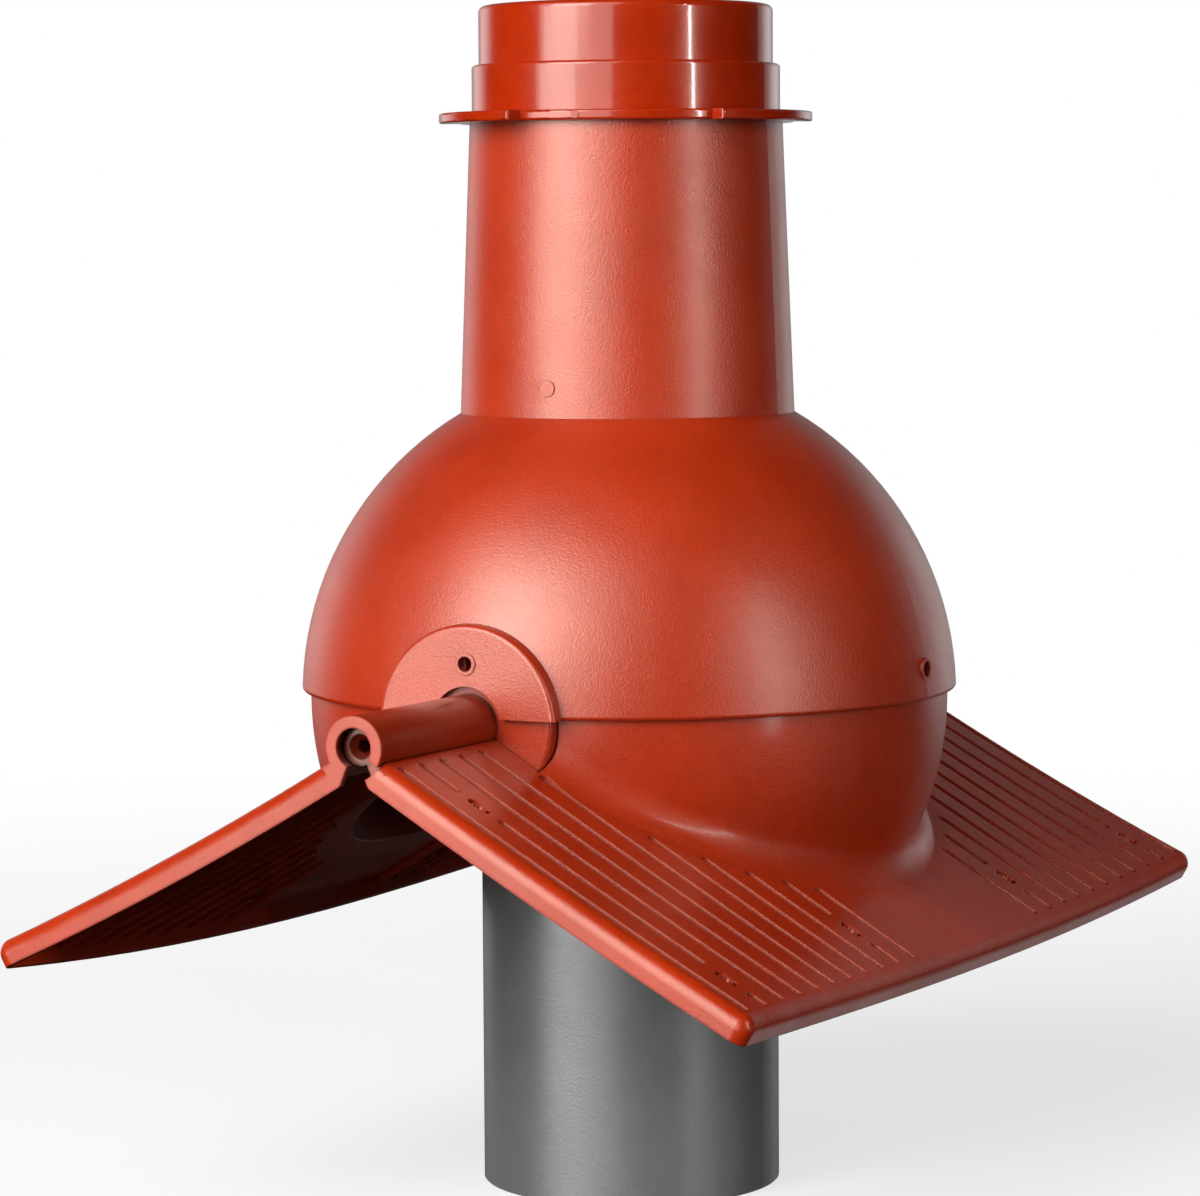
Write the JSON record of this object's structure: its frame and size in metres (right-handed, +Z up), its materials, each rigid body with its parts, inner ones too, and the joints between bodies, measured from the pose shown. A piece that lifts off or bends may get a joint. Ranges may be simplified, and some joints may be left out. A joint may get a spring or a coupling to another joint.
{
  "type": "adjustable ridge vent pipe outlet",
  "caption": "Round hood over a vertical vent pipe, standing on hinged grooved roof plates that fold to the pitch of a ridge, with a stepped collar for a cowl.",
  "frame": {"origin": "centre of the pipe's lower end", "axes": "+Z up the pipe, Y along the roof ridge, X down the two roof slopes"},
  "size_m": [0.2952, 0.391, 0.4335],
  "materials": {
    "pipe_plastic": "satin grey polypropylene",
    "hood_plastic": "fine-grained satin brick red",
    "collar_plastic": "glossy brick red",
    "wing_plastic": "semi-gloss brick red",
    "seal_rubber": "matt black"
  },
  "bodies": {
    "outlet": {"vent_pipe": "pipe_plastic", "hood": "hood_plastic", "collar": "collar_plastic", "spigot_seal": "seal_rubber"},
    "right_plate": {"right_wing": "wing_plastic"},
    "left_plate": {"left_wing": "wing_plastic"}
  },
  "joints": [
    {"name": "right_wing_hinge", "type": "hinge", "parent": "outlet", "child": "right_plate", "pos_m": [0, 0, 0.181], "axis": [0, 1, 0], "range_deg": [0, 20]},
    {"name": "left_wing_hinge", "type": "hinge", "parent": "outlet", "child": "left_plate", "pos_m": [0, 0, 0.181], "axis": [0, -1, 0], "range_deg": [0, 20]}
  ]
}
